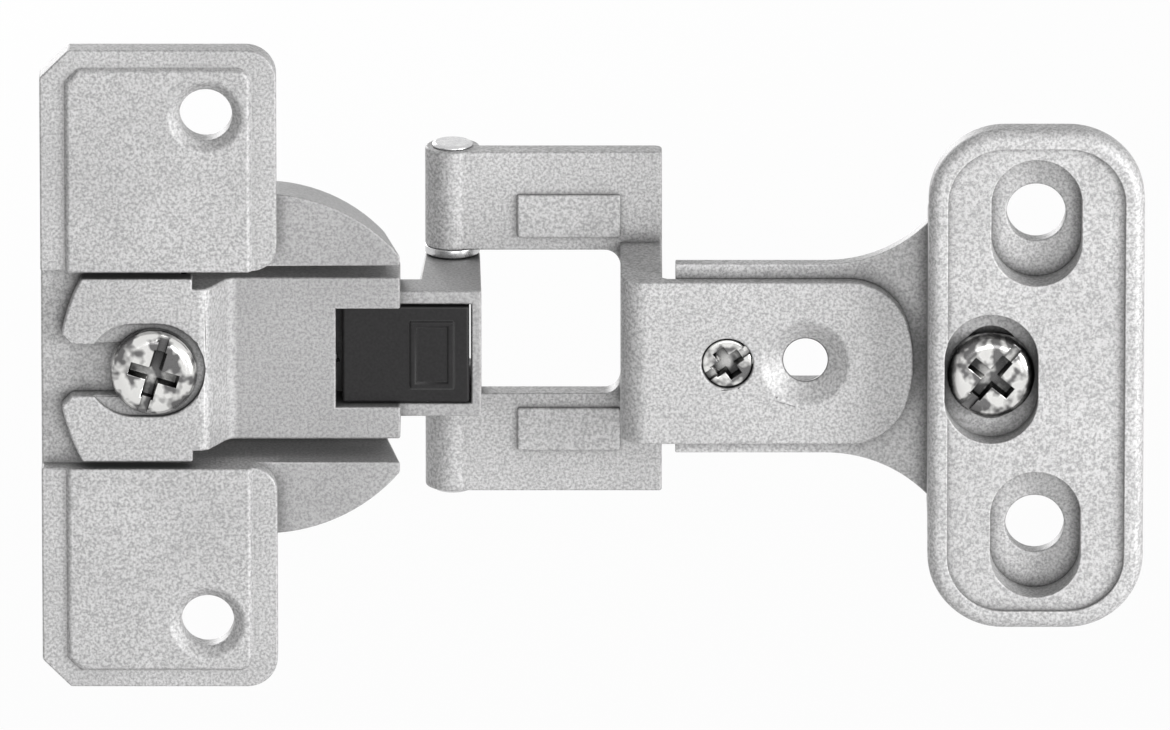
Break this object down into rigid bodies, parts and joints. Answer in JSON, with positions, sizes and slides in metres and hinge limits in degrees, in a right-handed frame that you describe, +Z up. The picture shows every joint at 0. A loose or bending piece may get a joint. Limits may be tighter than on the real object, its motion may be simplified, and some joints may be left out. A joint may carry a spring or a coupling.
{
  "type": "cabinet hinge",
  "caption": "Concealed cabinet hinge with one pivot pin: door plate with round cup, forked arm, latch block and T-shaped mounting plate, adjustable three ways.",
  "frame": {"origin": "midway between the two fixing holes, on the back face of the base plate, where it lies on the cabinet side", "axes": "+X along the cabinet side towards its back, +Z up along the pivot pin, +Y into the cabinet side; drawn with the door open square to the cabinet front, as in the picture"},
  "size_m": [0.1084, 0.0252, 0.0654],
  "materials": {
    "cast_metal": "satin nickel-plated zinc casting with a fine grain",
    "plated_screw": "bright plated steel",
    "bright_washer": "plain bright steel",
    "black_plastic": "matt black moulded plastic"
  },
  "bodies": {
    "base": {"base_plate": "cast_metal"},
    "plate": {"mounting_plate": "cast_metal"},
    "plate_screw": {"plate_clamp_screw": "plated_screw"},
    "arm": {"hinge_arm": "cast_metal", "pivot_pin": "plated_screw", "upper_washer": "bright_washer", "lower_washer": "bright_washer"},
    "arm_screw": {"arm_screw": "plated_screw"},
    "leaf": {"door_leaf": "cast_metal", "latch_spring": "bright_washer"},
    "latch": {"latch_block": "black_plastic"},
    "door": {"door_plate": "cast_metal"},
    "leaf_screw": {"leaf_clamp_screw": "plated_screw"}
  },
  "joints": [
    {"name": "height_adjust", "type": "slide", "parent": "base", "child": "plate", "axis": [0, 0, 1], "range_m": [-0.002, 0.002]},
    {"name": "plate_screw_turn", "type": "hinge", "parent": "base", "child": "plate_screw", "pos_m": [-0.0044, -0.006, 0], "axis": [0, -1, 0], "range_deg": [0, 360]},
    {"name": "depth_adjust", "type": "slide", "parent": "plate", "child": "arm", "axis": [1, 0, 0], "range_m": [-0.001, 0.001]},
    {"name": "arm_screw_turn", "type": "hinge", "parent": "arm", "child": "arm_screw", "pos_m": [-0.0303, -0.002, 0], "axis": [0, -1, 0], "range_deg": [-360, 360]},
    {"name": "door_swing", "type": "hinge", "parent": "arm", "child": "leaf", "pos_m": [-0.0574, 0.0131, 0], "axis": [0, 0, 1], "range_deg": [-10, 90]},
    {"name": "latch_slide", "type": "slide", "parent": "leaf", "child": "latch", "axis": [-1, 0, 0], "range_m": [0, 0.0005], "stiffness_N_per_m": 800, "springref_m": -0.004, "deforming": ["latch_spring"]},
    {"name": "side_adjust", "type": "slide", "parent": "leaf", "child": "door", "axis": [1, 0, 0], "range_m": [-0.002, 0.0003]},
    {"name": "leaf_screw_turn", "type": "hinge", "parent": "door", "child": "leaf_screw", "pos_m": [-0.0867, -0.0055, 0], "axis": [0, -1, 0], "range_deg": [0, 360]}
  ]
}
